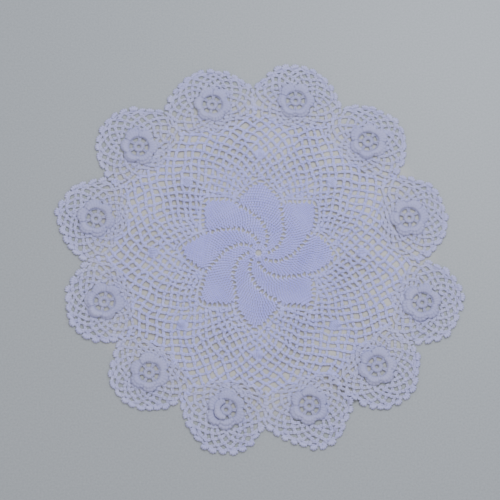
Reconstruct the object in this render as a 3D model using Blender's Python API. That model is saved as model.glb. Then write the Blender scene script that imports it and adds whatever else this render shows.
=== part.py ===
"""Round crochet doily with a spiral star centre, an open net and twelve scallops.

One continuous piece of crochet lies flat: a close-worked star of eight curved arms, the net
around it with eight small solid clusters, and twelve scallops with a bumpy edge. A raised rose
of six doubled petals, worked apart, sits in a round seat at the middle of each scallop.
Units are metres, +Z is up and the origin is at the middle of the underside.
"""
import math
from collections import namedtuple

import bmesh
import bpy
from mathutils import Matrix, Vector
from mathutils.geometry import delaunay_2d_cdt

# ---- driving dimensions -------------------------------------------------------------------
CLOTH_THICK = 0.0013        # net and scallops
STAR_THICK = 0.0017         # crown of a star arm
GROOVE_THICK = 0.0011       # along a spiral row of eyelets
CLUSTER_THICK = 0.0024      # crown of a solid cluster
EDGE_THICK = 0.0016         # bumps of the scalloped edge

ARMS = 8
CENTRE_HOLE = 0.0021        # radius of the ring the work starts from
ARM_ROOT = 0.0075           # where the spiral rows begin
VALLEY_OUT = 0.0412         # where two arms part
TIP_OUT = 0.0575            # end of an arm
ARM_SWEEP = 85.3            # degrees that a spiral row would turn from the centre to the valley
SWEEP_POWER = 1.27
TIP_LAG = 2.4               # degrees that a tip falls short of its arm's middle line
STAR_RINGS = (0.0120, 0.0180, 0.0245, 0.0310, 0.0365)
GROOVE_SIDE = 0.2           # where an arm reaches its height, as a share of its width
STAR_EDGE_THICK = 0.0015

NET_COLUMNS = 32            # gaps in a round, at twice the pitch of the fine net
NET_ROUNDS = (0.0465, 0.0533, 0.0604, 0.0677, 0.0752, 0.0835, 0.0925, 0.1015)
NET_GROWTH = 0.0095         # half height of a cell in the last round
GAP_SHARE = 0.68            # part of a cell that is open
CLUSTER_ROUND = 4           # round of NET_ROUNDS whose gap at each arm is worked solid
CLUSTER_SIZE = 0.0062       # half width of a cluster
CLUSTER_CROWN = 0.6         # share of a cluster that is raised
CROWN_FALL = 0.0002         # from the middle of a cluster to the rim of its crown

ROSE_SEAT = 0.0102          # radius of the round seat in a scallop
SCALLOP_GAPS = 6            # around the outer side of a rose
GAP_RING = 0.70             # where they lie, as a share of the scallop's reach
GAP_HIGH = 0.0050           # half height of a gap
GAP_WIDE = 0.0037           # half width
GAP_SPREAD = 80.0           # degrees either side of the outward line that the gaps reach
NOTCH_MARGIN = 0.0080       # from a notch to the first gap behind it
NOTCH_PITCH = 0.0123        # between the gaps behind a notch
NOTCH_LIMIT = 0.1140        # where they stop, next to the net's last round
EDGE_BUMPS = 9
STEPS_PER_BUMP = 3
BUMP_DEPTH = 0.0016
FLARE_POWER = 3             # how late a scallop widens towards its notches

LARGEST_GAP = 0.03          # no gap or seat is wider
FILL_TOLERANCE = 1e-7
PIECE_GAP = 0.0003          # between a rose and the cloth
PETALS = 6
STEPS_PER_PETAL = 3
POCKET_FLOOR = 0.0005       # bottom of a rose's pockets and of its middle

# angle: direction of the rose, degrees; out: rose from the centre; reach: scallop beyond the
# rose's middle; notch: radius of the notch on the anticlockwise side; turn: rose, degrees
Scallop = namedtuple("Scallop", "angle out reach notch turn")
SCALLOPS = [
    Scallop(13.7, 0.1170, 0.0293, 0.1215, 20),
    Scallop(46.8, 0.1225, 0.0285, 0.1320, 5),
    Scallop(76.9, 0.1265, 0.0293, 0.1333, 12),
    Scallop(106.6, 0.1250, 0.0293, 0.1345, 34),
    Scallop(137.0, 0.1250, 0.0320, 0.1298, 8),
    Scallop(167.6, 0.1255, 0.0295, 0.1253, 25),
    Scallop(198.4, 0.1210, 0.0293, 0.1230, 0),
    Scallop(229.0, 0.1225, 0.0280, 0.1275, 15),
    Scallop(258.8, 0.1225, 0.0310, 0.1318, 40),
    Scallop(287.4, 0.1227, 0.0310, 0.1303, 10),
    Scallop(314.6, 0.1235, 0.0313, 0.1353, 28),
    Scallop(342.2, 0.1275, 0.0300, 0.1243, 3),
]

# full and high: radius and height of a ring of a rose at a petal; notch and low: the same
# between two petals; open: whether the six arched pockets lie between it and the next ring
RoseRing = namedtuple("RoseRing", "full notch high low open")
ROSE_RINGS = [
    RoseRing(0.0016, 0.0016, 0.0024, 0.0024, False),    # rim of the dimpled middle
    RoseRing(0.0044, 0.0044, 0.0026, 0.0026, True),     # outside of the middle ring
    RoseRing(0.0072, 0.0072, 0.0028, 0.0026, False),    # root of the upper petals
    RoseRing(0.0095, 0.0090, 0.0044, 0.0032, False),    # crown of the upper petals
    RoseRing(0.0113, 0.0098, 0.0036, 0.0027, False),    # rim of the upper petals
    RoseRing(0.0133, 0.0118, 0.0027, 0.0022, False),    # rim of the lower petals
]

COTTON = (0.80, 0.80, 0.88, 1.0)
ROSE_COTTON = (0.78, 0.78, 0.87, 1.0)


def polar(radius, degrees, middle=(0.0, 0.0)):
    """Point at a radius and an angle from a middle."""
    a = math.radians(degrees)
    return Vector((middle[0] + radius * math.cos(a), middle[1] + radius * math.sin(a)))


# ---- scallops -----------------------------------------------------------------------------
def rose_middle(index):
    """Middle of a rose."""
    return polar(SCALLOPS[index].out, SCALLOPS[index].angle)


def notch_after(index):
    """Notch between a scallop and the next one anticlockwise."""
    here = SCALLOPS[index]
    there = SCALLOPS[(index + 1) % len(SCALLOPS)]
    half_step = ((there.angle - here.angle) % 360.0) / 2.0
    return polar(here.notch, here.angle + half_step)


def to_notch(index, side):
    """Step from a rose to its notch on one side, and its angle to the outward line."""
    step = notch_after(index if side > 0.0 else index - 1) - rose_middle(index)
    return step, math.degrees(step.angle(polar(1.0, SCALLOPS[index].angle)))


def scallop_reach(index, lean, share=1.0):
    """Point of a scallop at an angle either side of its outward line, share of the way out."""
    here = SCALLOPS[index]
    step, notch_lean = to_notch(index, lean)
    flare = min(1.0, abs(lean) / notch_lean) ** FLARE_POWER
    reach = here.reach + (step.length - here.reach) * flare
    return polar(reach * share, here.angle + lean, rose_middle(index))


def scallop_edge(index):
    """Edge of one scallop from its clockwise notch, three points to a bump."""
    start = -to_notch(index, -1.0)[1]
    end = to_notch(index, 1.0)[1]
    points = []
    steps = EDGE_BUMPS * STEPS_PER_BUMP
    for step in range(steps):
        point = scallop_reach(index, start + (end - start) * step / steps)
        if step % STEPS_PER_BUMP == 0:
            point = point - (point - rose_middle(index)).normalized() * BUMP_DEPTH
        points.append(point)
    return points


def scallop_gaps(index):
    """Four-cornered gaps around the outer side of a rose."""
    gaps = []
    for number in range(SCALLOP_GAPS):
        lean = GAP_SPREAD * (2.0 * (number + 0.5) / SCALLOP_GAPS - 1.0)
        hub = scallop_reach(index, lean, GAP_RING)
        gaps.append(gap_around(hub, hub - rose_middle(index)))
    return gaps


def gap_around(hub, outward):
    """Four corners of a gap whose height points outward."""
    outward = outward.normalized()
    across = Vector((-outward.y, outward.x))
    return [hub + outward * GAP_HIGH, hub + across * GAP_WIDE,
            hub - outward * GAP_HIGH, hub - across * GAP_WIDE]


def notch_gaps(index):
    """Gaps on the line from the notch after a scallop to the net."""
    notch = notch_after(index)
    inward = -notch.normalized()
    gaps = []
    hub = notch + inward * NOTCH_MARGIN
    while hub.length > NOTCH_LIMIT:
        gaps.append(gap_around(hub, notch))
        hub = hub + inward * NOTCH_PITCH
    return gaps


# ---- net ----------------------------------------------------------------------------------
def net_cells():
    """Open and cluster cells of the net as (is_cluster, middle, corners)."""
    pitch = 360.0 / NET_COLUMNS
    per_arm = NET_COLUMNS // ARMS
    cells = []
    for number, out in enumerate(NET_ROUNDS):
        inner = NET_ROUNDS[number - 1] if number else 2.0 * out - NET_ROUNDS[1]
        outer = NET_ROUNDS[number + 1] if number + 1 < len(NET_ROUNDS) else out + NET_GROWTH
        for arm in range(ARMS):
            valley = (arm + 0.5) * 360.0 / ARMS
            if number < per_arm:
                leans = [i - number / 2.0 for i in range(number + 1)]
            else:
                leans = [i - (per_arm - number % 2) / 2.0 for i in range(per_arm)]
            for lean in leans:
                angle = valley + lean * pitch
                middle = polar(out, angle)
                corners = [polar(outer, angle), polar(out, angle + pitch / 2.0),
                           polar(inner, angle), polar(out, angle - pitch / 2.0)]
                is_cluster = number == CLUSTER_ROUND and lean == -per_arm / 2.0
                share = CLUSTER_SIZE / (out * math.radians(pitch / 2.0)) if is_cluster else GAP_SHARE
                corners = [middle + (corner - middle) * share for corner in corners]
                cells.append((is_cluster, middle, corners))
    return cells


# ---- star ---------------------------------------------------------------------------------
def spiral_angle(radius, arm, share):
    """Angle of a line that follows the arm, share 0 and 1 being its two spiral rows."""
    back = ARM_SWEEP * max(0.0, (VALLEY_OUT - radius) / VALLEY_OUT) ** SWEEP_POWER
    return (arm - 0.5 + share) * 360.0 / ARMS - back


def star_lines():
    """Lines that the star's relief follows, each a list of (point, thickness)."""
    lines = []
    radii = (ARM_ROOT,) + STAR_RINGS + (VALLEY_OUT,)
    for arm in range(ARMS):
        for share, thick in ((0.0, GROOVE_THICK), (GROOVE_SIDE, STAR_THICK),
                             (1.0 - GROOVE_SIDE, STAR_THICK)):
            lines.append([(polar(r, spiral_angle(r, arm, share)), thick) for r in radii])
        tip = polar(TIP_OUT, arm * 360.0 / ARMS - TIP_LAG)
        valleys = [polar(VALLEY_OUT, (arm + side) * 360.0 / ARMS) for side in (-0.5, 0.5)]
        for valley in valleys:
            lines.append([(valley, GROOVE_THICK), (valley.lerp(tip, 0.5), STAR_EDGE_THICK),
                          (tip, STAR_EDGE_THICK)])
        shoulder = polar((VALLEY_OUT + TIP_OUT) / 2.0, arm * 360.0 / ARMS - TIP_LAG / 2.0)
        lines.append([(polar(VALLEY_OUT, arm * 360.0 / ARMS), STAR_THICK), (shoulder, STAR_THICK)])
    return lines


# ---- the crochet ground -------------------------------------------------------------------
class Plan:
    """Points, edges and thicknesses of the cloth, gathered before it is filled."""

    def __init__(self):
        self.points = []
        self.thicks = []
        self.edges = []
        self.holes = []

    def add(self, points, thicks, closed):
        """Add a line or a loop and return its point numbers."""
        first = len(self.points)
        numbers = list(range(first, first + len(points)))
        self.points += points
        self.thicks += thicks
        self.edges += list(zip(numbers, numbers[1:]))
        if closed:
            self.edges.append((numbers[-1], numbers[0]))
        return numbers


def inside(point, corners):
    """True where a point lies inside a loop of corners."""
    hit = False
    for a, b in zip(corners, corners[1:] + corners[:1]):
        if (a.y > point.y) != (b.y > point.y):
            if point.x < a.x + (b.x - a.x) * (point.y - a.y) / (b.y - a.y):
                hit = not hit
    return hit


def gather_plan():
    """Outline, seats, gaps and relief lines of the whole cloth."""
    plan = Plan()
    rim = [point for index in range(len(SCALLOPS)) for point in scallop_edge(index)]
    plan.add(rim, [EDGE_THICK] * len(rim), True)
    for index, scallop in enumerate(SCALLOPS):
        steps = PETALS * STEPS_PER_PETAL
        first = scallop.angle + scallop.turn
        seat = [polar(ROSE_SEAT, first + step * 360.0 / steps, rose_middle(index))
                for step in range(steps)]
        for loop in [seat] + scallop_gaps(index) + notch_gaps(index):
            plan.add(loop, [CLOTH_THICK] * len(loop), True)
            plan.holes.append(loop)
    for is_cluster, middle, corners in net_cells():
        plan.add(corners, [CLOTH_THICK] * len(corners), True)
        if is_cluster:
            plan.add([middle], [CLUSTER_THICK], False)
            crown = [middle.lerp(corner, CLUSTER_CROWN) for corner in corners]
            plan.add(crown, [CLUSTER_THICK - CROWN_FALL] * len(crown), True)
        else:
            plan.holes.append(corners)
    ring = [polar(CENTRE_HOLE, step * 360.0 / ARMS) for step in range(ARMS)]
    plan.add(ring, [STAR_THICK] * len(ring), True)
    plan.holes.append(ring)
    for line in star_lines():
        plan.add([point for point, _ in line], [thick for _, thick in line], False)
    return plan, rim


def fill_plan(plan, rim):
    """Flat triangles of the cloth with its gaps left out."""
    points, _, faces, origins, _, _ = delaunay_2d_cdt(plan.points, plan.edges, [], 0, FILL_TOLERANCE)
    thicks = [plan.thicks[origin[0]] for origin in origins]
    kept = []
    for face in faces:
        middle = sum((points[i] for i in face), Vector((0.0, 0.0))) / len(face)
        near = [hole for hole in plan.holes if (hole[0] - middle).length < LARGEST_GAP]
        if inside(middle, rim) and not any(inside(middle, hole) for hole in near):
            kept.append(face)
    return points, thicks, kept


def make_ground(shift):
    """Cloth with a flat underside and its relief on top."""
    plan, rim = gather_plan()
    points, thicks, faces = fill_plan(plan, rim)
    bm = bmesh.new()
    lower = [bm.verts.new((p.x - shift.x, p.y - shift.y, 0.0)) for p in points]
    upper = [bm.verts.new((v.co.x, v.co.y, thick)) for v, thick in zip(lower, thicks)]
    sides = set()
    for face in faces:
        bm.faces.new([upper[i] for i in face])
        bm.faces.new([lower[i] for i in reversed(face)])
        sides.update(zip(face, face[1:] + face[:1]))
    for a, b in sides:
        if (b, a) not in sides:
            bm.faces.new((upper[b], upper[a], lower[a], lower[b]))
    bmesh.ops.delete(bm, geom=[v for v in bm.verts if not v.link_faces], context="VERTS")
    return finish_mesh(bm, "doily_ground", cotton_material("cotton_ground", COTTON), Matrix())


# ---- roses --------------------------------------------------------------------------------
def rose_profile():
    """Rings of a rose from its middle outward, over the petals and back under them."""
    petal_under = EDGE_THICK + PIECE_GAP
    hub = ROSE_SEAT - PIECE_GAP
    rim = ROSE_RINGS[-1]
    return ROSE_RINGS + [RoseRing(rim.full, rim.notch, petal_under, petal_under, False),
                         RoseRing(hub, hub, petal_under, petal_under, False),
                         RoseRing(hub, hub, 0.0, 0.0, False)]


def rose_mesh():
    """Rose built ring by ring around its dimpled middle, with six arched pockets."""
    bm = bmesh.new()
    steps = PETALS * STEPS_PER_PETAL
    rings = []
    for ring in rose_profile():
        verts = []
        for step in range(steps):
            between = step % STEPS_PER_PETAL == 0
            flat = polar(ring.notch if between else ring.full, step * 360.0 / steps)
            verts.append(bm.verts.new((flat.x, flat.y, ring.low if between else ring.high)))
        rings.append(verts)
    for number, (here, beyond) in enumerate(zip(rings, rings[1:])):
        pocketed = ROSE_RINGS[number].open if number < len(ROSE_RINGS) else False
        for step in range(steps):
            beside = (step + 1) % steps
            if not pocketed or step % STEPS_PER_PETAL == 0:
                bm.faces.new((here[step], beyond[step], beyond[beside], here[beside]))
        if pocketed:
            sink_pockets(bm, here, beyond)
    middle = bm.verts.new((0.0, 0.0, POCKET_FLOOR))
    for step in range(steps):
        bm.faces.new((rings[0][step], rings[0][(step + 1) % steps], middle))
    bm.faces.new(rings[-1])
    bmesh.ops.recalc_face_normals(bm, faces=bm.faces)
    return bm


def sink_pockets(bm, inner, outer):
    """Arched pockets between two rings of a rose, one inside each petal."""
    for first in range(1, len(inner), STEPS_PER_PETAL):
        span = [(first + i) % len(inner) for i in range(STEPS_PER_PETAL)]
        loop = [inner[i] for i in span] + [outer[i] for i in reversed(span)]
        sunk = [bm.verts.new((v.co.x, v.co.y, POCKET_FLOOR)) for v in loop]
        for i, vert in enumerate(loop):
            follow = (i + 1) % len(loop)
            bm.faces.new((vert, loop[follow], sunk[follow], sunk[i]))
        bm.faces.new(sunk)


def make_roses(shift):
    """Twelve roses, each seated in its own scallop."""
    material = cotton_material("cotton_rose", ROSE_COTTON)
    for index, scallop in enumerate(SCALLOPS):
        middle = rose_middle(index) - shift
        place = Matrix.Translation((middle.x, middle.y, 0.0))
        turn = Matrix.Rotation(math.radians(scallop.angle + scallop.turn), 4, "Z")
        finish_mesh(rose_mesh(), f"rose_{index + 1:02d}", material, place @ turn)


# ---- shared -------------------------------------------------------------------------------
def cotton_material(name, colour):
    """Matt cotton thread."""
    material = bpy.data.materials.new(name)
    material.use_nodes = True
    surface = material.node_tree.nodes["Principled BSDF"]
    surface.inputs["Base Color"].default_value = colour
    surface.inputs["Roughness"].default_value = 0.9
    surface.inputs["Metallic"].default_value = 0.0
    return material


def finish_mesh(bm, name, material, place):
    """Turn a bmesh into a named object at its place."""
    mesh = bpy.data.meshes.new(name)
    bm.to_mesh(mesh)
    bm.free()
    mesh.materials.append(material)
    mesh.shade_smooth()
    mesh.set_sharp_from_angle(angle=math.radians(35.0))
    thing = bpy.data.objects.new(name, mesh)
    thing.matrix_world = place
    bpy.context.scene.collection.objects.link(thing)
    return thing


def box_middle():
    """Middle of the box around the whole edge, which the origin goes to."""
    rim = [point for index in range(len(SCALLOPS)) for point in scallop_edge(index)]
    xs = [point.x for point in rim]
    ys = [point.y for point in rim]
    return Vector(((min(xs) + max(xs)) / 2.0, (min(ys) + max(ys)) / 2.0))


def main():
    for thing in list(bpy.data.objects):
        bpy.data.objects.remove(thing)
    shift = box_middle()
    make_ground(shift)
    make_roses(shift)


main()
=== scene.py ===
import math
from collections import namedtuple

import bpy
import numpy as np
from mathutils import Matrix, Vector


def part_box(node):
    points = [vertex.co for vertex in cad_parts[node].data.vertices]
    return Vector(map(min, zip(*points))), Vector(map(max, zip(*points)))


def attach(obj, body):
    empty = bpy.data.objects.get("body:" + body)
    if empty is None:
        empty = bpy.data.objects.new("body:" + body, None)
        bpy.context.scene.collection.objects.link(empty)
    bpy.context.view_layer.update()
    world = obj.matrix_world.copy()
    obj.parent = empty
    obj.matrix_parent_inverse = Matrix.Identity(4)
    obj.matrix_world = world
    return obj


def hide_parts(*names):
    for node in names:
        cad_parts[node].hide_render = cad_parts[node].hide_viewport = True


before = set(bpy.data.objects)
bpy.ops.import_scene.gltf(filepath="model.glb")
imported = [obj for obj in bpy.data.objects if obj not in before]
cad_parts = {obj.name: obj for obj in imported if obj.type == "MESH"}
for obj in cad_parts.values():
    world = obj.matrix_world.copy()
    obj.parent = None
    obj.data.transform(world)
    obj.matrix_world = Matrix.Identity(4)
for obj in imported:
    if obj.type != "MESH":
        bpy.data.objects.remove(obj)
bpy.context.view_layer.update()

# A flat point is a complex number, x + y * 1j, measured from the middle of the star in metres,
# so a turn is a multiplication. The board that the doily lies on is at z = 0.

# angle: direction of the rose, degrees; out: rose from the star's middle; reach: scallop beyond
# the rose's middle; notch: radius of the notch on the anticlockwise side; turn: rose, degrees
Scallop = namedtuple("Scallop", "angle out reach notch turn")
scallops = [
    Scallop(13.7, 0.1170, 0.0293, 0.1215, 20),
    Scallop(46.8, 0.1225, 0.0285, 0.1320, 5),
    Scallop(76.9, 0.1265, 0.0293, 0.1333, 12),
    Scallop(106.6, 0.1250, 0.0293, 0.1345, 34),
    Scallop(137.0, 0.1250, 0.0320, 0.1298, 8),
    Scallop(167.6, 0.1255, 0.0295, 0.1253, 25),
    Scallop(198.4, 0.1210, 0.0293, 0.1230, 0),
    Scallop(229.0, 0.1225, 0.0280, 0.1275, 15),
    Scallop(258.8, 0.1225, 0.0310, 0.1318, 40),
    Scallop(287.4, 0.1227, 0.0310, 0.1303, 10),
    Scallop(314.6, 0.1235, 0.0313, 0.1353, 28),
    Scallop(342.2, 0.1275, 0.0300, 0.1243, 3),
]


def polar(radius, degrees):
    return radius * np.exp(1j * np.radians(degrees))


def degreesOf(point):
    return np.degrees(np.angle(point))


def wrapped(degrees):
    return (degrees + 180.0) % 360.0 - 180.0


def boxMiddle(node):
    low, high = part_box(node)
    return complex((low.x + high.x) / 2, (low.y + high.y) / 2)


starMiddle = boxMiddle("rose_01") - polar(scallops[0].out, scallops[0].angle)

# ways in which the hand-made cloth wanders: how far, over what length, in what direction
wander = {
    "far": (0.0013, 0.0012, 0.0008, 0.0006),
    "length": (0.064, 0.043, 0.027, 0.019),
    "direction": (25.0, 118.0, 70.0, 160.0),
    "sway": 0.6,           # shares that go sideways and that crowd the cloth together
    "crowd": 0.6,
    "crowdLength": 1.3,    # length of the crowding, as a share of the sway's
    "still": 0.050,        # inside this radius the cloth moves less and less
    "seed": 12,
    "strayCap": 2.0,       # a knot strays at most this many times the usual
}
random = np.random.default_rng(wander["seed"])


# pulls the cloth a little out of true, the same for all that meets at a point
def pulled(points):
    moved = np.array(points, dtype=complex)
    loose = np.clip(np.abs(moved) / wander["still"], 0.0, 1.0) ** 2
    for far, length, direction in zip(wander["far"], wander["length"], wander["direction"]):
        along = (points * polar(1.0, -direction)).real
        across = (points * polar(1.0, -direction)).imag
        sway = polar(1.0, direction + 90.0) * np.sin(2.0 * math.pi * along / length)
        slow = length * wander["crowdLength"]
        crowd = polar(1.0, direction) * np.cos(2.0 * math.pi * across / slow)
        moved += far * loose * (wander["sway"] * sway + wander["crowd"] * crowd)
    return moved


# no knot lies quite in its place
def strayed(points, knotStray):
    cap = wander["strayCap"]
    far = knotStray * random.standard_normal((2,) + np.shape(points)).clip(-cap, cap)
    return points + far[0] + 1j * far[1]


# low swells in which the cloth stands off the board, and the fold where it is bunched
swell = {
    "settled": 0.0003,    # the stitches are modelled this far above the board
    "high": 0.0008,
    "level": 0.45,        # share of the height where the waves cancel out
    "length": (0.052, 0.037, 0.045),
    "direction": (15.0, 80.0, 140.0),
    "start": (0.3, 1.9, 4.0),
    "radii": (0.035, 0.065, 0.098, 0.118),    # the star lies flat, and the scallops nearly
    "shares": (0.0, 1.0, 1.0, 0.25),
    "foldFrom": 0.052 - 0.093j,
    "foldTo": 0.070 - 0.113j,
    "foldHigh": 0.0018,
    "foldWide": 0.0040,
}


def standsOff(points):
    loose = np.interp(np.abs(points), swell["radii"], swell["shares"])
    waves = 0.0
    for length, direction, start in zip(swell["length"], swell["direction"], swell["start"]):
        along = (points * polar(1.0, -direction)).real
        waves = waves + np.sin(2.0 * math.pi * along / length + start)
    waves = waves / len(swell["length"])
    height = swell["high"] * loose * np.clip(swell["level"] + waves, 0.0, 1.0)
    run = swell["foldTo"] - swell["foldFrom"]
    past = points - swell["foldFrom"]
    share = np.clip((past * run.conjugate()).real / abs(run) ** 2, 0.0, 1.0)
    away = np.abs(past - share * run) / swell["foldWide"]
    return height + swell["foldHigh"] * np.exp(-away ** 2) - swell["settled"]


# stitches: each is modelled once from bent strands of thread, and copied by the thousand
stitchSizes = {
    "thread": 0.00088,       # width of a strand
    "chainPitch": 0.0024,
    "chainTall": 0.62,       # strand height over width
    "singleTall": 0.57,
    "singleWide": 0.00178,
    "singleLong": 0.00230,
    "slimSides": 4,          # sides of a strand in the stitches that are copied most
    "fullSides": 6,          # and in posts and petals
    "mergeWithin": 1e-6,
}


def selectOnly(things):
    bpy.ops.object.select_all(action="DESELECT")
    for thing in things:
        thing.select_set(True)
    bpy.context.view_layer.objects.active = things[0]


# joins strands to one mesh, each flattened to a share of its height; a strand is given by
# points of (x, y, z, share of the full thread)
def makeStitch(name, strands, tall, sides):
    parts = []
    for strand in strands:
        curve = bpy.data.curves.new(name, "CURVE")
        curve.dimensions = "3D"
        curve.bevel_depth = stitchSizes["thread"] / 2
        curve.bevel_resolution = sides // 2 - 2    # none gives four sides, one gives six
        curve.use_fill_caps = True
        line = curve.splines.new("POLY")
        line.points.add(len(strand) - 1)
        for point, (x, y, z, full) in zip(line.points, strand):
            point.co = (x, y, z / tall, 1.0)
            point.radius = full
        part = bpy.data.objects.new(name, curve)
        bpy.context.collection.objects.link(part)
        parts.append(part)
    selectOnly(parts)
    bpy.ops.object.convert(target="MESH")
    if len(parts) > 1:
        bpy.ops.object.join()
    stitch = bpy.context.active_object
    stitch.scale.z = tall
    bpy.ops.object.transform_apply(location=False, rotation=False, scale=True)
    bpy.ops.object.mode_set(mode="EDIT")
    bpy.ops.mesh.select_all(action="SELECT")
    bpy.ops.mesh.remove_doubles(threshold=stitchSizes["mergeWithin"])
    bpy.ops.mesh.normals_make_consistent(inside=False)
    bpy.ops.object.mode_set(mode="OBJECT")
    return stitch


# strands: x of the chain's is in its pitch, and x and y of the single stitch's leg and bar are
# in its width and length
strandPoints = {
    "chain": ((-0.10, 0.00014, 0.00066, 0.8), (0.30, 0.00036, 0.00080, 1.15),
              (0.76, 0.00044, 0.00070, 1.15), (1.12, 0.00026, 0.00055, 0.8)),
    "knot": ((-0.00100, -0.00060, 0.00055, 0.9), (-0.00040, 0.00055, 0.00115, 1.3),
             (0.00045, 0.00050, 0.00120, 1.3), (0.00100, -0.00065, 0.00055, 0.9)),
    "leg": ((0.04, -0.60, 0.00050, 0.6), (0.21, -0.20, 0.00070, 1.05),
            (0.22, 0.34, 0.00060, 0.9)),
    "bar": ((-0.54, 0.34, 0.00078, 0.8), (0.0, 0.42, 0.00112, 1.0), (0.54, 0.44, 0.00082, 0.8)),
}


def scaled(points, along, across):
    return [(x * along, y * across, z, full) for x, y, z, full in points]


# two strands side by side, from the origin towards x
def makeChain():
    pitch = stitchSizes["chainPitch"]
    strands = [scaled(strandPoints["chain"], pitch, side) for side in (1.0, -1.0)]
    return makeStitch("chainStitch", strands, stitchSizes["chainTall"], stitchSizes["slimSides"])


# one thick loop around the arch below
def makeKnot():
    return makeStitch("knot", [strandPoints["knot"]], stitchSizes["singleTall"],
                      stitchSizes["slimSides"])


# two legs that lean together, and the bar across their heads
def makeSingle():
    wide, long = stitchSizes["singleWide"], stitchSizes["singleLong"]
    strands = [scaled(strandPoints["leg"], wide * side, long) for side in (1.0, -1.0)]
    strands.append(scaled(strandPoints["bar"], wide, long))
    return makeStitch("singleStitch", strands, stitchSizes["singleTall"],
                      stitchSizes["slimSides"])


# how the posts of every fan swell: shares of the fan's width and height, and of a post's width
fanPosts = {
    "footIn": 0.0003,     # metres behind the origin
    "footFull": 0.75,
    "bellyWide": 0.42,
    "bellyHigh": 0.5,
    "topFull": 0.85,
}


# thick posts side by side, fanned from a foot at the origin towards y
def makeFan(name, fan):
    strands = []
    for post in range(fan["posts"]):
        side = (post + 0.5) / fan["posts"] * 2.0 - 1.0
        top = fan["high"] * (1.0 - fan["round"] * side ** 2)
        full = fan["post"] / stitchSizes["thread"]
        belly = side * fan["wide"] * fanPosts["bellyWide"]
        strands.append([(side * fan["foot"] / 2, -fanPosts["footIn"], fan["low"],
                         full * fanPosts["footFull"]),
                        (belly, top * fanPosts["bellyHigh"], fan["crown"], full),
                        (side * fan["wide"] / 2, top, fan["low"], full * fanPosts["topFull"])])
    return makeStitch(name, strands, fan["tall"], stitchSizes["fullSides"])


# copies a stitch to every place and makes one mesh of them,
# where a place is (point, heading in degrees, lift, (length, width, height) scales)
def placeCopies(name, stitch, places):
    mesh = stitch.data
    corners = np.empty(len(mesh.vertices) * 3)
    mesh.vertices.foreach_get("co", corners)
    corners = corners.reshape(-1, 3)
    loops = np.empty(len(mesh.loops), dtype=np.int32)
    mesh.loops.foreach_get("vertex_index", loops)
    starts = np.empty(len(mesh.polygons), dtype=np.int32)
    mesh.polygons.foreach_get("loop_start", starts)
    flat = np.empty(len(mesh.loops) * 2)
    mesh.uv_layers[0].data.foreach_get("uv", flat)

    count = len(places)
    points = np.array([place[0] for place in places]) + starMiddle
    turns = polar(1.0, np.array([place[1] for place in places]))
    lifts = np.array([place[2] for place in places])
    sizes = np.array([place[3] for place in places])
    spread = corners[None, :, 0] * sizes[:, None, 0] + 1j * corners[None, :, 1] * sizes[:, None, 1]
    spread = spread * turns[:, None] + points[:, None]
    heights = corners[None, :, 2] * sizes[:, None, 2] + lifts[:, None]
    raised = heights + standsOff(spread - starMiddle)
    vertices = np.stack([spread.real, spread.imag, raised], axis=2)

    made = bpy.data.meshes.new(name)
    made.vertices.add(count * len(corners))
    made.vertices.foreach_set("co", vertices.ravel())
    made.loops.add(count * len(loops))
    step = np.arange(count, dtype=np.int32)[:, None]
    made.loops.foreach_set("vertex_index", (loops[None, :] + step * len(corners)).ravel())
    made.polygons.add(count * len(starts))
    made.polygons.foreach_set("loop_start", (starts[None, :] + step * len(loops)).ravel())
    layer = made.uv_layers.new(name="thread")
    layer.data.foreach_set("uv", np.tile(flat, count))
    # the cotton's colour follows both: one tone for a whole stitch, and how high in it a point is,
    # which sets where painted light lifts the shade of the lower sides
    tone = made.attributes.new("tone", "FLOAT", "POINT")
    tone.data.foreach_set("value", np.repeat(random.random(count), len(corners)))
    rise = made.attributes.new("rise", "FLOAT", "POINT")
    rise.data.foreach_set("value", heights.ravel())
    made.update(calc_edges=True)
    made.shade_smooth()
    thing = bpy.data.objects.new(name, made)
    bpy.context.collection.objects.link(thing)
    return thing


# cords: a chain is laid along a round of arches, pointed at the knots below
cordSizes = {
    "peak": 1.0,             # how round an arch is at its top
    "foot": 0.12,            # and at its knots
    "steps": 8,
    "lift": 0.00030,         # a stitch lies at most this far above the others
    "width": 1.3,
    "narrowest": 0.87,       # share of that width, and what chance adds to it
    "widthChance": 0.26,
    "headingReach": 0.45,    # share of a stitch on each side that gives its heading
    "knotSize": 1.05,
    "knotChance": 0.25,
}


# a smooth closed path through nodes that go round once, a knot and a peak in turn
def archPath(nodes):
    ahead, behind = np.roll(nodes, -1), np.roll(nodes, 1)
    roundness = np.where(np.arange(len(nodes)) % 2 == 0, cordSizes["foot"], cordSizes["peak"])
    slopes = (ahead - behind) / 2.0 * roundness
    t = (np.arange(cordSizes["steps"]) / cordSizes["steps"])[None, :]
    path = ((1 + 2 * t) * (1 - t) ** 2 * nodes[:, None] + t * (1 - t) ** 2 * slopes[:, None]
            + t ** 2 * (3 - 2 * t) * ahead[:, None]
            + t ** 2 * (t - 1) * np.roll(slopes, -1)[:, None])
    path = path.ravel()
    return np.append(path, path[0])


def anywhere(point):
    return True


# a chain along any closed or open path of points, where keep allows it
def chainOn(path, keep=anywhere, grown=1.0):
    run = np.concatenate([[0.0], np.cumsum(np.abs(np.diff(path)))])
    count = round(run[-1] / stitchSizes["chainPitch"])
    pitch = run[-1] / count
    at = (np.arange(count) + 0.5) * pitch

    def along(distance):
        return np.interp(distance, run, path.real) + 1j * np.interp(distance, run, path.imag)

    points = along(at)
    near = pitch * cordSizes["headingReach"]
    headings = degreesOf(along(at + near) - along(at - near))
    starts = points - polar(pitch / 2.0, headings)
    width = cordSizes["width"] * grown
    places = []
    for start, point, heading, wild in zip(starts, points, headings, random.random(count)):
        if keep(point):
            wide = width * (cordSizes["narrowest"] + cordSizes["widthChance"] * wild)
            size = (pitch / stitchSizes["chainPitch"], wide, 1.0)
            places.append((start, heading, cordSizes["lift"] * wild, size))
    return places


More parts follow.
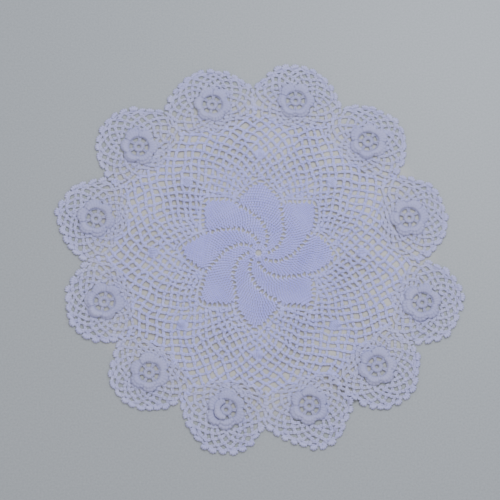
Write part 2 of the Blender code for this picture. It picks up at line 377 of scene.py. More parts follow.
def knotAt(point, heading):
    grown = cordSizes["knotSize"] + cordSizes["knotChance"] * random.random()
    return (point, heading - 90.0, 0.0, (grown, grown, grown))


# star: eight arms of single crochet, parted by spiral rows of eyelets
star = {
    "arms": 8,
    "firstRounds": ((0.0037, 9), (0.0055, 14)),    # radius and stitches of the first rounds
    "firstLong": 0.98,
    "spiralFrom": 0.0074,
    "valley": 0.0412,
    "tip": 0.0575,
    "sweep": 85.3,        # degrees that a spiral row turns from a valley to the middle
    "sweepPower": 1.27,
    "tipLag": 2.4,        # degrees that a tip is clockwise of its arm's middle
    "rowPitch": 0.00230,
    "slant": 6.0,         # degrees that a row of an arm rises anticlockwise
    "spare": 0.002,       # rows are tried up to this far past the tips
    "inside": 0.0004,     # beyond the valleys a stitch lies at least this far inside its arm
    "uneven": 0.06,
    "eyelet": 0.0027,     # across a spiral row, between the middles of its edges
    "eyeletMost": 2.2,    # its most along a round, where the row leans, as a share of that
    "eyeletPitch": 0.0039,
    "spiralPoints": 200,
    "bar": 0.62,          # width of the bar over an eyelet, as a share of a chain's
    "barOver": 0.0010,    # how much longer it is than the eyelet
    "barTall": 0.9,
    "edgePoints": 24,
    "edgeIn": 0.0009,     # how far the rungs reach into an arm
    "ladder": 0.0041,     # outer chain along an arm, with a rung between every two holes
    "rung": 0.0037,
    "firstRung": 0.6,     # share of a rung's pitch before the first
    "ladderWidth": 0.8,
    "rungWidth": 0.8,
    "lift": 0.0007,
}


# how far a radius is from the valleys between the arms, 0, to their tips, 1
def pastValley(radius):
    return np.clip((radius - star["valley"]) / (star["tip"] - star["valley"]), 0.0, 1.0)


# angle in degrees at a share of the way across an arm, 0 on its clockwise side
def armAngle(radius, arm, share):
    inward = np.maximum(0.0, (star["valley"] - radius) / star["valley"])
    past = pastValley(radius)
    step = 360.0 / star["arms"]
    return (arm * step + (share - 0.5) * step * (1.0 - past) - star["tipLag"] * past
            - star["sweep"] * inward ** star["sweepPower"])


# whether the star covers a point that is moved out by a margin
def underStar(point, margin):
    radius = abs(point) + margin
    if radius <= star["valley"]:
        return True
    step = 360.0 / star["arms"]
    past = pastValley(radius)
    lean = wrapped((degreesOf(point) + star["tipLag"] * past + step / 2) % step - step / 2)
    return past < 1.0 and abs(lean) < step / 2 * (1.0 - past)


# an eyelet is as wide all along its spiral row, so it takes more of a round where the row leans
def eyeletWidth(radius):
    near = 5e-4
    turn = math.radians(armAngle(radius + near, 0, 0.0) - armAngle(radius, 0, 0.0))
    lean = radius * turn / near
    return min(star["eyelet"] * math.hypot(1.0, lean), star["eyelet"] * star["eyeletMost"])


def starPlaces():
    places = []
    for radius, count in star["firstRounds"]:
        wide = 2.0 * math.pi * radius / count / stitchSizes["singleWide"]
        for number in range(count):
            angle = 360.0 * number / count
            places.append((polar(radius, angle), angle - 90.0, star["lift"],
                           (wide, star["firstLong"], 1.0)))
    step = math.radians(360.0 / star["arms"])
    rise = math.tan(math.radians(star["slant"]))
    rows = 1 + int((star["tip"] + star["spare"] - star["spiralFrom"]) / star["rowPitch"])
    for row in range(rows):
        radius = star["spiralFrom"] + row * star["rowPitch"]
        length = radius * step
        spare = eyeletWidth(radius) if radius < star["valley"] else 0.0
        count = max(1, round((length - spare) / stitchSizes["singleWide"]))
        wide = (length - spare) / count
        for arm in range(star["arms"]):
            for number in range(count):
                along = spare / 2.0 + (number + 0.5) * wide - length / 2.0
                out = radius + rise * along
                share = 0.5 + along / length
                point = polar(out, armAngle(min(out, star["valley"]), arm, share))
                if out > star["valley"] and not underStar(point, star["inside"]):
                    continue
                heading = degreesOf(point) - 90.0 - star["slant"]
                high = 1.0 + star["uneven"] * random.random()
                size = (wide / stitchSizes["singleWide"], 1.0, high)
                places.append((point, heading, star["lift"], size))
    return places


# bars of chain straight across the spiral rows, each between two eyelets
def barPlaces():
    places = []
    radii = np.linspace(star["spiralFrom"], star["valley"], star["spiralPoints"])
    for arm in range(star["arms"]):
        spiral = np.array([polar(radius, armAngle(radius, arm, 0.0)) for radius in radii])
        run = np.concatenate([[0.0], np.cumsum(np.abs(np.diff(spiral)))])
        along = np.gradient(spiral)
        for at in np.arange(star["eyeletPitch"] * 0.5, run[-1], star["eyeletPitch"]):
            step = int(np.searchsorted(run, at))
            across = 1j * along[step] / abs(along[step])
            wide = star["eyelet"] + star["barOver"]
            size = (wide / stitchSizes["chainPitch"], star["bar"], star["barTall"])
            places.append((spiral[step] - across * wide / 2.0, degreesOf(across), star["lift"],
                           size))
    return places


# a ladder of small holes around each arm, a chain with rungs to the arm's edge
def ladderPlaces():
    places = []
    radii = np.linspace(star["valley"], star["tip"], star["edgePoints"])
    for arm in range(star["arms"]):
        rising = [polar(radius - star["edgeIn"], armAngle(radius, arm, 0.0)) for radius in radii]
        falling = [polar(radius - star["edgeIn"], armAngle(radius, arm, 1.0))
                   for radius in radii[-2::-1]]
        edge = np.array(rising + falling)
        along = np.gradient(edge)
        outward = along / np.abs(along) * -1j
        places += chainOn(edge + outward * star["ladder"], grown=star["ladderWidth"])
        run = np.concatenate([[0.0], np.cumsum(np.abs(np.diff(edge)))])
        length = star["ladder"] / stitchSizes["chainPitch"]
        for at in np.arange(star["rung"] * star["firstRung"], run[-1], star["rung"]):
            step = min(len(edge) - 1, int(np.searchsorted(run, at)))
            places.append((edge[step], degreesOf(outward[step]), 0.0,
                           (length, star["rungWidth"], 1.0)))
    return places


# net: rounds of chain arches, each caught on the peaks of the last by a knot
net = {
    "columns": 64,
    "radii": (0.0398, 0.0431, 0.0465, 0.0499, 0.0533, 0.0566, 0.0600, 0.0635, 0.0671,
              0.0709, 0.0746, 0.0788, 0.0829, 0.0869, 0.0909, 0.0949, 0.0990, 0.1030,
              0.1070, 0.1110, 0.1150, 0.1190, 0.1230, 0.1270),
    "seam": 22.5,            # where the net's quarters meet, degrees
    "clusterRadius": 11,     # which of the radii has the solid clusters
    "fromStar": 0.0052,      # where the net starts, and how far it runs into the scallops
    "intoScallops": 0.0026,
    "stray": 0.00062,        # how far a knot strays from its place
    "flat": (0.150, 0.106),
    "reach": 0.14,           # its area is counted on a square grid up to here, with this step,
    "gridStep": 0.002,
    "gridSpare": 0.0011,     # and half a cord past its edges
}


def netNodes():
    rows = []
    for number, radius in enumerate(net["radii"]):
        columns = np.arange(net["columns"]) + 0.5 * (number % 2)
        rows.append(strayed(polar(radius, columns * 360.0 / net["columns"]), net["stray"]))
    return rows


def roundNodes(rows, number):
    lower, upper = rows[number], rows[number + 1]
    if number % 2:
        upper = np.roll(upper, -1)
    return np.stack([lower, upper], axis=1).ravel()


def roseMiddle(index):
    return polar(scallops[index].out, scallops[index].angle)


# direction from a rose to a point, 0 away from the star
def leanOf(index, point):
    return wrapped(degreesOf(point - roseMiddle(index)) - scallops[index].angle)


def nearestRose(point):
    return min(range(len(scallops)), key=lambda index: abs(point - roseMiddle(index)))


def inQuarter(point, quarter):
    turned = (degreesOf(point) - quarter * 90.0 - net["seam"]) % 360.0
    return turned < 90.0


# the net fills what the star and the scallops leave; spare widens it, fromStar parts it from
# the star
def inNet(point, spare, fromStar=0.0):
    if underStar(point, spare - fromStar):
        return False
    index = nearestRose(point)
    lean = leanOf(index, point)
    past = abs(lean) > toNotch(index, lean)[1]
    inward = net["intoScallops"] + spare
    return past and abs(point - roseMiddle(index)) > motifReach(index, lean) - inward


def netPlaces(rows, quarter):
    chains, knots = [], []

    def keep(point):
        return inQuarter(point, quarter) and inNet(point, 0.0, net["fromStar"])

    for number in range(len(rows) - 1):
        chains += chainOn(archPath(roundNodes(rows, number)), keep)
        for point in rows[number]:
            if number and keep(point):
                knots.append(knotAt(point, degreesOf(point)))
    return chains, knots


cluster = {"posts": 6, "wide": 0.0080, "high": 0.0080, "round": 0.35, "post": 0.00112,
           "low": 0.00065, "crown": 0.00115, "tall": 0.8, "lift": 0.0002,
           "footWide": 0.85, "topWide": 0.9, "endFull": 0.85}    # as shares of the middle


def clusterPlaces(quarter):
    places = []
    out = net["radii"][net["clusterRadius"]]
    for arm in range(star["arms"]):
        middle = polar(out, arm * 360.0 / star["arms"])
        if inQuarter(middle, quarter):
            places.append((middle, degreesOf(middle) - 90.0, cluster["lift"], (1.0, 1.0, 1.0)))
    return places


# upright posts side by side, longest in the middle
def makeCluster():
    strands = []
    full = cluster["post"] / stitchSizes["thread"]
    for post in range(cluster["posts"]):
        side = (post + 0.5) / cluster["posts"] * 2.0 - 1.0
        x = side * cluster["wide"] / 2.0
        end = cluster["high"] / 2.0 * (1.0 - cluster["round"] * side ** 2)
        slim = full * cluster["endFull"]
        strands.append([(x * cluster["footWide"], -end, cluster["low"], slim),
                        (x, 0.0, cluster["crown"], full),
                        (x * cluster["topWide"], end, cluster["low"], slim)])
    return makeStitch("cluster", strands, cluster["tall"], stitchSizes["fullSides"])


# scallops: rings of arches around each rose, and an edge of small shells
scallop = {
    "rings": (0.0134, 0.0158, 0.0187, 0.0215, 0.0244, 0.0270),   # at a reach of standardReach
    "standardReach": 0.0293,
    "base": 0.0115,         # rings nearer than this don't follow the outline
    "loops": 17,
    "stray": 0.0006,
    "overlap": 0.0006,      # how far a scallop may reach past the line to the next
    "flarePower": 3,
    "flareEnd": 108.0,      # leans between which a scallop draws in to its inner side
    "innerFrom": 158.0,
    "innerReach": 0.0236,
    "cord": 1.06,
    "band": 0.0024,         # edge chain inside the outline
    "bandWidth": 0.8,
    "bandSteps": 90,
    "seamIn": 0.0003,       # the seam chain starts this far inside the notch
    "seamTo": 0.106,
    "seamStep": 0.0026,
    "seamSway": 0.0009,
    "flat": (0.066, 0.060),
    "areaStep": 2.0,        # degrees
}


def notchAfter(index):
    here, there = scallops[index], scallops[(index + 1) % len(scallops)]
    half = ((there.angle - here.angle) % 360.0) / 2.0
    return polar(here.notch, here.angle + half)


# distance and lean of the notch on one side, as seen from the rose
def toNotch(index, side):
    step = notchAfter(index if side > 0 else index - 1) - roseMiddle(index)
    return abs(step), abs(wrapped(degreesOf(step) - scallops[index].angle))


# from the rose to the edge of its scallop
def motifReach(index, lean):
    here = scallops[index]
    far, notchLean = toNotch(index, lean)
    lean = abs(lean)
    if lean <= notchLean:
        return here.reach + (far - here.reach) * (lean / notchLean) ** scallop["flarePower"]
    share = (lean - scallop["flareEnd"]) / (scallop["innerFrom"] - scallop["flareEnd"])
    share = min(1.0, max(0.0, share))
    return far + (scallop["innerReach"] - far) * share * share * (3.0 - 2.0 * share)


def ringPoint(index, lean, radius):
    lean = wrapped(lean)
    base = scallop["base"]
    stretch = (motifReach(index, lean) - base) / (scallop["standardReach"] - base)
    out = base + (radius - base) * stretch
    return roseMiddle(index) + polar(out, scallops[index].angle + lean)


def ringNodes(index):
    rows = []
    loops = scallop["loops"]
    for number, radius in enumerate(scallop["rings"]):
        leans = (np.arange(loops) + 0.5 * (number % 2)) * 360.0 / loops + scallops[index].turn
        points = np.array([ringPoint(index, lean, radius) for lean in leans])
        rows.append(strayed(points, scallop["stray"]))
    return rows


def inScallop(index, point):
    along = wrapped(degreesOf(point) - scallops[index].angle)
    notch = notchAfter(index if along > 0 else index - 1)
    half = abs(wrapped(degreesOf(notch) - scallops[index].angle))
    return abs(point) * math.radians(abs(along) - half) < scallop["overlap"]


def scallopPlaces(index):
    rows = ringNodes(index)
    chains, knots = [], []
    middle = roseMiddle(index)

    def keep(point):
        return inScallop(index, point)

    for number in range(len(rows) - 1):
        nodes = roundNodes(rows, number)
        chains += chainOn(archPath(nodes), keep, scallop["cord"])
        for point in rows[number]:
            if number and keep(point):
                knots.append(knotAt(point, degreesOf(point - middle)))
    chains += seamPlaces(index)
    return chains, knots


def bandPlaces(index):
    low, high = -toNotch(index, -1)[1], toNotch(index, 1)[1]
    band = scallop["standardReach"] - scallop["band"]
    leans = np.linspace(low, high, scallop["bandSteps"] + 1)
    edge = np.array([ringPoint(index, lean, band) for lean in leans])
    return chainOn(edge, lambda point: inScallop(index, point), scallop["bandWidth"])


# the chain that joins two scallops, caught to each in turn
def seamPlaces(index):
    notch = notchAfter(index)
    radii = np.arange(abs(notch) - scallop["seamIn"], scallop["seamTo"], -scallop["seamStep"])
    path = polar(radii, degreesOf(notch))
    path = path + notch / abs(notch) * 1j * scallop["seamSway"] * (-1.0) ** np.arange(len(radii))
    return chainOn(path)


shellFan = {"posts": 4, "foot": 0.0034, "wide": 0.0050, "high": 0.0030, "round": 0.55,
            "post": 0.00140, "low": 0.00065, "crown": 0.0010, "tall": 0.7}
# no two shells are worked alike: each range is from the least to the most
shells = {
    "count": 13,
    "foot": 0.0021,          # inside the outline
    "edgeSteps": 120,
    "stray": 0.0004,
    "turn": (-14.0, 14.0),
    "width": (0.84, 1.04),
    "length": (0.72, 1.2),
    "height": (0.8, 1.1),
    "lift": 0.0002,          # every other shell lies twice as high
}


def shellPlaces(index):
    middle = roseMiddle(index)
    low, high = -toNotch(index, -1)[1], toNotch(index, 1)[1]
    leans = np.linspace(low, high, shells["edgeSteps"] + 1)
    edge = np.array([ringPoint(index, lean, scallop["standardReach"]) for lean in leans])
    inward = (middle - edge) / np.abs(middle - edge)
    edge = edge + inward * shells["foot"]
    run = np.concatenate([[0.0], np.cumsum(np.abs(np.diff(edge)))])
    width = run[-1] / shells["count"]

    def along(distance):
        return np.interp(distance, run, edge.real) + 1j * np.interp(distance, run, edge.imag)

    near = 1e-4
    places = []
    for number in range(shells["count"]):
        at = (number + 0.5) * width + shells["stray"] * random.standard_normal()
        foot = along(at)
        outward = degreesOf(along(at + near) - foot) - 90.0 + random.uniform(*shells["turn"])
        size = (width / shellFan["wide"] * random.uniform(*shells["width"]),
                random.uniform(*shells["length"]), random.uniform(*shells["height"]))
        places.append((foot, outward - 90.0, shells["lift"] * (1 + number % 2), size))
    return places


# roses: a ring, six spokes and two layers of ribbed petals, worked in one
rose = {
    "petals": 6,
    "ringMiddle": 0.0032,      # radius of the centre ring
    "ringPosts": 16,
    "lift": 0.0004,            # how far the ring, spokes and root lie above the net
    "spokeFrom": 0.0043,
    "spokeTo": 0.0080,
    "spokeWidth": 1.45,
    "rootRound": 18,           # chain stitches around the petals' root
    "rootWidth": 0.8,
    "rootTurn": 100.0,         # degrees between such a stitch and the radius
    "upper": {"root": 0.0083, "full": 0.0125, "notch": 0.0100, "foot": 0.0012, "rim": 0.0018,
              "bulge": 0.0002},
    "lower": {"root": 0.0083, "full": 0.0145, "notch": 0.0114, "foot": 0.0012, "rim": 0.0012,
              "bulge": 0.0002},
    "spread": 372.0,           # degrees that a layer's petals take together, so that they lap
    "posts": 6,
    "postWide": 1.5,
    "postSteps": (0.0, 0.35, 0.7, 0.98),
    "lap": 0.0003,             # how far one side of a petal rises over the next
    "postTall": 0.42,
    "rimWidth": 0.0012,
    "rimPoints": 7,
    "petalTurn": (-3.0, 3.0),  # by chance a petal turns, and its size and height vary
    "petalSize": (0.95, 1.05),
    "petalHeight": (0.9, 1.1),
    "folded": {8: (190.0, 0.0046, 0.0010)},    # rose: direction pushed in, how far, how high
}
ringFan = {"posts": 1, "foot": 0.0, "wide": 0.0, "high": 0.0026, "round": 0.0, "post": 0.0017,
           "low": 0.0006, "crown": 0.0008, "tall": 0.6}


# posts and a rim, with the rose's middle at the origin and the petal towards x
def makePetal(name, layer):
    half = math.radians(rose["spread"] / 2.0 / rose["petals"])

    def on(side, out):
        reach = layer["notch"] + (layer["full"] - layer["notch"]) * (1.0 - side * side)
        radius = layer["root"] + (reach - layer["root"]) * out
        height = layer["foot"] + (layer["rim"] - layer["foot"]) * out
        height += layer["bulge"] * math.sin(math.pi * out) + rose["lap"] * side
        wide = radius * 2.0 * half / rose["posts"] * rose["postWide"]
        return (radius * math.cos(side * half), radius * math.sin(side * half), height, wide)

    strands = []
    for post in range(rose["posts"]):
        side = (post + 0.5) / rose["posts"] * 2.0 - 1.0
        places = [on(side, out) for out in rose["postSteps"]]
        strands.append([(x, y, z, wide / stitchSizes["thread"]) for x, y, z, wide in places])
    rim = [on(side, 1.0)[:3] for side in np.linspace(-1.0, 1.0, rose["rimPoints"])]
    strands.append([(x, y, z, rose["rimWidth"] / stitchSizes["thread"]) for x, y, z in rim])
    return makeStitch(name, strands, rose["postTall"], stitchSizes["fullSides"])


def makeRose(index):
    middle = roseMiddle(index)
    first = scallops[index].angle + scallops[index].turn
    petals = []
    for shape in (tools["upperPetal"], tools["lowerPetal"]):
        places = []
        for petal in range(rose["petals"]):
            turn = first + (petal + 0.5) * 360.0 / rose["petals"]
            turn = turn + random.uniform(*rose["petalTurn"])
            grown = random.uniform(*rose["petalSize"])
            root, lift = middle, 0.0
            if index in rose["folded"] and shape is tools["upperPetal"]:
                toward, far, up = rose["folded"][index]
                share = max(0.0, math.cos(math.radians(turn - toward)))
                root = middle - polar(far * share, turn)
                lift = up * share
            high = random.uniform(*rose["petalHeight"])
            places.append((root, turn, lift, (grown, grown, high)))
        petals.append(placeCopies("petals", shape, places))
    posts, chains = [], []
    count = rose["ringPosts"]
    for number in range(count):
        angle = first + 360.0 * number / count
        foot = rose["ringMiddle"] - ringFan["high"] / 2.0
        posts.append((middle + polar(foot, angle), angle - 90.0, rose["lift"],
                      (1.0, 1.0, random.uniform(*rose["petalHeight"]))))
    length = (rose["spokeTo"] - rose["spokeFrom"]) / stitchSizes["chainPitch"]
    for spoke in range(rose["petals"]):
        angle = first + spoke * 360.0 / rose["petals"]
        chains.append((middle + polar(rose["spokeFrom"], angle), angle, rose["lift"],
                       (length, rose["spokeWidth"], 1.0)))
    count = rose["rootRound"]
    arc = 2.0 * math.pi * rose["spokeTo"] / count / stitchSizes["chainPitch"]
    for number in range(count):
        angle = first + 360.0 * number / count
        chains.append((middle + polar(rose["spokeTo"], angle), angle + rose["rootTurn"],
                       rose["lift"], (arc, rose["rootWidth"], 1.0)))
    parts = petals + [placeCopies("ring", tools["ringPost"], posts),
                      placeCopies("spokes", tools["chain"], chains)]
    return joined(f"crochetRose_{index + 1:02d}", parts)


# cotton: colours of close work, net, scallops and roses, each with a deeper shade for tone; they
# are one white thread, made lighter or darker part by part, partly as painted light and shade
cottonLook = {
    # painted light: the close work is paler, against the shade in its crevices
    "groundColour": (0.477, 0.487, 1.000, 1.0),
    "groundShade": (0.406, 0.416, 0.950, 1.0),
    "netColour": (0.419, 0.436, 0.838, 1.0),
    "netShade": (0.357, 0.375, 0.782, 1.0),
    # the scallops are duller and less blue
    "scallopColour": (0.410, 0.424, 0.688, 1.0),
    "scallopShade": (0.363, 0.376, 0.680, 1.0),
    # painted shade: the roses are darker and greyer, for the shade that their smooth petals don't
    # cast
    "roseColour": (0.336, 0.346, 0.571, 1.0),
    "roseShade": (0.293, 0.303, 0.549, 1.0),
    "paintedUndersideLight": (0.56, 0.54, 0.55, 1.0),    # painted light: low in a stitch the cotton is painted a paler grey that lifts the shade of its lower sides and takes the blue out of it, which fades out between these heights in chains and between these in close work and roses
    "paintedUndersideHeights": (0.0000, 0.0011),          # fades out between these heights in chains
    "thickPaintedUndersideHeights": (-0.0004, 0.0004),    # and between these in close work and roses
    "threadTurns": 3.0,
    "plies": 2.0,
    "plyRelief": 0.5,          # how far plies stand out, beside the fluff
    "fluffScale": 900.0,
    "fluffDetail": 3.0,
    "patchScale": 45.0,        # slow patches of tone across the cloth
    "patchDetail": 2.0,
    "toneShare": 0.35,         # weight of a stitch's own tone beside the patches
    "shadeRange": (0.45, 0.95),
    "reliefStrength": 0.35,
    "reliefDepth": 0.0001,
    "roughness": 0.85,
    "sheen": 0.06,
    "specular": 0.12,
}
# a mix of colours has several sockets of one name, so these go by number
mixSockets = {"share": 0, "first": 6, "second": 7, "result": 2}


def link(tree, fromNode, output, toNode, entry):
    tree.links.new(fromNode.outputs[output], toNode.inputs[entry])


def addMath(tree, operation, second=None):
    node = tree.nodes.new("ShaderNodeMath")
    node.operation = operation
    if second is not None:
        node.inputs[1].default_value = second
    return node


def addNoise(tree, place, scale, detail):
    node = tree.nodes.new("ShaderNodeTexNoise")
    node.inputs["Scale"].default_value = scale
    node.inputs["Detail"].default_value = detail
    link(tree, place, "Object", node, "Vector")
    return node


def addAttribute(tree, name):
    node = tree.nodes.new("ShaderNodeAttribute")
    node.attribute_name = name
    return node


def addMix(tree, shareNode, output):
    node = tree.nodes.new("ShaderNodeMix")
    node.data_type = "RGBA"
    link(tree, shareNode, output, node, mixSockets["share"])
    return node


def addRelief(tree, heightNode, output, strength, depth):
    bump = tree.nodes.new("ShaderNodeBump")
    bump.inputs["Strength"].default_value = strength
    bump.inputs["Distance"].default_value = depth
    link(tree, heightNode, output, bump, "Height")
    link(tree, bump, "Normal", tree.nodes["Principled BSDF"], "Normal")


# colour and relief of twisted cotton: plies across the strand, fluff, tone from stitch to stitch,
# and painted light: a paler grey low in each stitch that lifts the shade of its lower sides
def cottonGroup():
    tree = bpy.data.node_groups.new("twistedCotton", "ShaderNodeTree")
    colour, number = "NodeSocketColor", "NodeSocketFloat"
    for name, kind in (("Colour", colour), ("Shade", colour), ("Turns", number),
                       ("Low", number), ("High", number)):
        tree.interface.new_socket(name, in_out="INPUT", socket_type=kind)
    tree.interface.new_socket("Colour", in_out="OUTPUT", socket_type=colour)
    tree.interface.new_socket("Height", in_out="OUTPUT", socket_type=number)
    entry = tree.nodes.new("NodeGroupInput")
    leave = tree.nodes.new("NodeGroupOutput")

    # plies wind round the strand, so they follow its own map both ways
    strand = tree.nodes.new("ShaderNodeUVMap")
    strand.uv_map = "thread"
    split = tree.nodes.new("ShaderNodeSeparateXYZ")
    link(tree, strand, "UV", split, "Vector")
    turns = addMath(tree, "MULTIPLY")
    link(tree, split, "X", turns, 0)
    link(tree, entry, "Turns", turns, 1)
    wound = addMath(tree, "MULTIPLY_ADD", cottonLook["plies"])
    link(tree, split, "Y", wound, 0)
    link(tree, turns, "Value", wound, 2)
    angle = addMath(tree, "MULTIPLY", 2.0 * math.pi)
    link(tree, wound, "Value", angle, 0)
    ply = addMath(tree, "SINE")
    link(tree, angle, "Value", ply, 0)

    place = tree.nodes.new("ShaderNodeTexCoord")
    fluff = addNoise(tree, place, cottonLook["fluffScale"], cottonLook["fluffDetail"])
    patches = addNoise(tree, place, cottonLook["patchScale"], cottonLook["patchDetail"])
    height = addMath(tree, "MULTIPLY_ADD", cottonLook["plyRelief"])
    link(tree, ply, "Value", height, 0)
    link(tree, fluff, "Fac", height, 2)
    link(tree, height, "Value", leave, "Height")

    shades = addMath(tree, "MULTIPLY_ADD", cottonLook["toneShare"])
    link(tree, addAttribute(tree, "tone"), "Fac", shades, 0)
    link(tree, patches, "Fac", shades, 2)
    shading = tree.nodes.new("ShaderNodeMapRange")
    shading.inputs["From Min"].default_value = cottonLook["shadeRange"][0]
    shading.inputs["From Max"].default_value = cottonLook["shadeRange"][1]
    link(tree, shades, "Value", shading, "Value")
    shaded = addMix(tree, shading, "Result")
    link(tree, entry, "Colour", shaded, mixSockets["first"])
    link(tree, entry, "Shade", shaded, mixSockets["second"])

    # painted light: towards the bottom of a stitch the colour turns to a paler grey, lifting the
    # shade of its lower sides
    above = tree.nodes.new("ShaderNodeMapRange")
    link(tree, entry, "Low", above, "From Min")
    link(tree, entry, "High", above, "From Max")
    link(tree, addAttribute(tree, "rise"), "Fac", above, "Value")
    undersideLit = addMix(tree, above, "Result")
    undersideLit.inputs[mixSockets["first"]].default_value = cottonLook["paintedUndersideLight"]
    link(tree, shaded, mixSockets["result"], undersideLit, mixSockets["second"])
    link(tree, undersideLit, mixSockets["result"], leave, "Colour")
    return tree


def cottonMaterial(name, group, colour, shade, heights):
    material = bpy.data.materials.new(name)
    material.use_nodes = True
    tree = material.node_tree
    surface = tree.nodes["Principled BSDF"]
    cotton = tree.nodes.new("ShaderNodeGroup")
    cotton.node_tree = group
    cotton.inputs["Colour"].default_value = colour
    cotton.inputs["Shade"].default_value = shade
    cotton.inputs["Turns"].default_value = cottonLook["threadTurns"]
    cotton.inputs["Low"].default_value, cotton.inputs["High"].default_value = heights
    link(tree, cotton, "Colour", surface, "Base Color")
    addRelief(tree, cotton, "Height", cottonLook["reliefStrength"], cottonLook["reliefDepth"])
    surface.inputs["Roughness"].default_value = cottonLook["roughness"]
    surface.inputs["Sheen Weight"].default_value = cottonLook["sheen"]
    surface.inputs["Specular IOR Level"].default_value = cottonLook["specular"]
    return material


def joined(name, parts):
    selectOnly(parts)
    bpy.ops.object.join()
    thing = bpy.context.active_object
    thing.name = name
    thing.data.name = name
    return thing


def dressed(piece, material, nodes):
    piece.data.materials.clear()
    piece.data.materials.append(material)
    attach(piece, "root")
    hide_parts(*nodes)
    return piece


# area that a test of points covers, counted on a square grid
def areaInside(inside, reach, step):
    line = np.arange(-reach, reach, step)
    return sum(inside(complex(x, y)) for x in line for y in line) * step * step


# the doily
tools = {
    "chain": makeChain(),
    "single": makeSingle(),
    "knot": makeKnot(),
    "shell": makeFan("shell", shellFan),
    "cluster": makeCluster(),
    "ringPost": makeFan("ringPost", ringFan),
    "upperPetal": makePetal("upperPetal", rose["upper"]),
    "lowerPetal": makePetal("lowerPetal", rose["lower"]),
}
cotton = cottonGroup()
groundCotton = cottonMaterial("groundCotton", cotton, cottonLook["groundColour"],
                              cottonLook["groundShade"], cottonLook["thickPaintedUndersideHeights"])
netCotton = cottonMaterial("netCotton", cotton, cottonLook["netColour"],
                           cottonLook["netShade"], cottonLook["paintedUndersideHeights"])
scallopCotton = cottonMaterial("scallopCotton", cotton, cottonLook["scallopColour"],
                               cottonLook["scallopShade"], cottonLook["paintedUndersideHeights"])
roseCotton = cottonMaterial("roseCotton", cotton, cottonLook["roseColour"],
                            cottonLook["roseShade"], cottonLook["thickPaintedUndersideHeights"])
print("stitches modelled")


def worked(name, tool, places):
    points = pulled(np.array([place[0] for place in places]))
    places = [(point,) + tuple(place[1:]) for point, place in zip(points, places)]
    return placeCopies(name, tools[tool], places)


starPiece = joined("star", [worked("starStitches", "single", starPlaces()),
                            worked("starBars", "chain", barPlaces())])
dressed(starPiece, groundCotton, ["doily_ground"])
print("star worked")

rows = netNodes()
netArea = areaInside(lambda point: inNet(point, net["gridSpare"]), net["reach"],
                     net["gridStep"]) / 4.0
ladder = ladderPlaces()
for quarter in range(4):
    chains, knots = netPlaces(rows, quarter)
    chains += [place for place in ladder if inQuarter(place[0], quarter)]
    parts = [worked("arches", "chain", chains), worked("knots", "knot", knots),
             worked("clusters", "cluster", clusterPlaces(quarter))]
    piece = dressed(joined(f"net_{quarter + 1}", parts), netCotton,
                    ["doily_ground"])
print("net worked")

for index in range(len(scallops)):
    chains, knots = scallopPlaces(index)
    parts = [worked("rings", "chain", chains), worked("ringKnots", "knot", knots)]
    lace = dressed(joined(f"scallop_{index + 1:02d}", parts), scallopCotton,
                   ["doily_ground"])
    parts = [worked("band", "chain", bandPlaces(index)),
             worked("shells", "shell", shellPlaces(index))]
    edging = dressed(joined(f"edging_{index + 1:02d}", parts), scallopCotton,
                     ["doily_ground"])
    flower = makeRose(index)
    dressed(flower, roseCotton, [f"rose_{index + 1:02d}"])
    leans = np.arange(-180.0, 180.0, scallop["areaStep"])
    reaches = np.array([motifReach(index, lean) for lean in leans])
    area = np.sum(reaches ** 2) * math.radians(scallop["areaStep"]) / 2.0
    area = area - math.pi * scallop["base"] ** 2
print("scallops and roses worked")

for tool in tools.values():
    bpy.data.objects.remove(tool)

# the board that the doily lies on, the light and the camera
boardLook = {
    "size": 6.0,
    "colour": (0.301, 0.329, 0.369, 1.0),
    "speckColour": (0.198, 0.220, 0.253, 1.0),
    "speckScale": 700.0,
    "speckDetail": 3.0,
    "reliefStrength": 0.15,
    "reliefDepth": 0.0002,
    "roughness": 0.5,
    "paintedLightColour": (0.388, 0.386, 0.396, 1.0),    # painted light: paler under the doily, against the shade that the lace casts there
    "paintedLightReach": (0.136, 0.114),                 # radii where it starts and is full
}


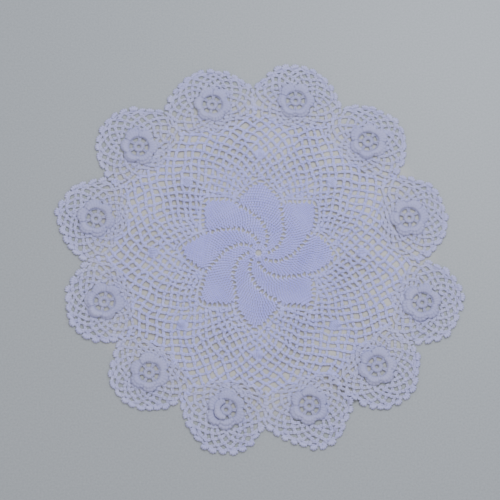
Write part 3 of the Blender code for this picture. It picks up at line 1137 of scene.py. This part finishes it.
def boardMaterial():
    material = bpy.data.materials.new("paleBoard")
    material.use_nodes = True
    tree = material.node_tree
    surface = tree.nodes["Principled BSDF"]
    place = tree.nodes.new("ShaderNodeTexCoord")
    speck = addNoise(tree, place, boardLook["speckScale"], boardLook["speckDetail"])
    specked = addMix(tree, speck, "Fac")
    specked.inputs[mixSockets["first"]].default_value = boardLook["colour"]
    specked.inputs[mixSockets["second"]].default_value = boardLook["speckColour"]

    # painted light: the board is painted paler under the doily, where the lace shades it
    away = tree.nodes.new("ShaderNodeVectorMath")
    away.operation = "DISTANCE"
    link(tree, place, "Object", away, 0)
    away.inputs[1].default_value = (starMiddle.real, starMiddle.imag, 0.0)
    paintedPatch = tree.nodes.new("ShaderNodeMapRange")
    paintedPatch.inputs["From Min"].default_value = boardLook["paintedLightReach"][0]
    paintedPatch.inputs["From Max"].default_value = boardLook["paintedLightReach"][1]
    link(tree, away, "Value", paintedPatch, "Value")
    beneath = addMix(tree, paintedPatch, "Result")
    link(tree, specked, mixSockets["result"], beneath, mixSockets["first"])
    beneath.inputs[mixSockets["second"]].default_value = boardLook["paintedLightColour"]
    link(tree, beneath, mixSockets["result"], surface, "Base Color")
    addRelief(tree, speck, "Fac", boardLook["reliefStrength"], boardLook["reliefDepth"])
    surface.inputs["Roughness"].default_value = boardLook["roughness"]
    return material


bpy.ops.object.select_all(action="DESELECT")
bpy.ops.mesh.primitive_plane_add(size=boardLook["size"], location=(0.0, 0.0, 0.0))
board = bpy.context.active_object
board.name = "board"
board.data.materials.append(boardMaterial())

light = {
    "keyPlace": (0.31, 0.55, 0.95),
    "keySize": 0.4,
    "keyPower": 9.6,
    "keyColour": (0.9, 0.95, 1.0),
    "sky": (1.0, 0.965, 0.92, 1.0),
    "skyStrength": 1.095,
}
keyData = bpy.data.lights.new("key", "AREA")
keyData.size = light["keySize"]
keyData.energy = light["keyPower"]
keyData.color = light["keyColour"]
key = bpy.data.objects.new("key", keyData)
bpy.context.collection.objects.link(key)
key.location = light["keyPlace"]
key.rotation_euler = (-Vector(light["keyPlace"])).to_track_quat("-Z", "Y").to_euler()

world = bpy.data.worlds.new("room")
bpy.context.scene.world = world
world.use_nodes = True
world.node_tree.nodes["Background"].inputs["Color"].default_value = light["sky"]
world.node_tree.nodes["Background"].inputs["Strength"].default_value = light["skyStrength"]

# height is in degrees above the board, and look is the point in view, from the star's middle
camera = {"height": 72.0, "distance": 1.295, "lens": 124.3, "look": (-0.0064, 0.0024),
          "farthest": 20.0}
cameraData = bpy.data.cameras.new("camera")
cameraData.lens = camera["lens"]
cameraData.clip_end = camera["farthest"]
view = bpy.data.objects.new("camera", cameraData)
bpy.context.collection.objects.link(view)
tilt = math.radians(camera["height"])
look = Vector((starMiddle.real + camera["look"][0], starMiddle.imag + camera["look"][1], 0.0))
back = Vector((0.0, -math.cos(tilt), math.sin(tilt)))
view.location = look + back * camera["distance"]
view.rotation_euler = (-back).to_track_quat("-Z", "Y").to_euler()
bpy.context.scene.camera = view
print("board, light and camera set")
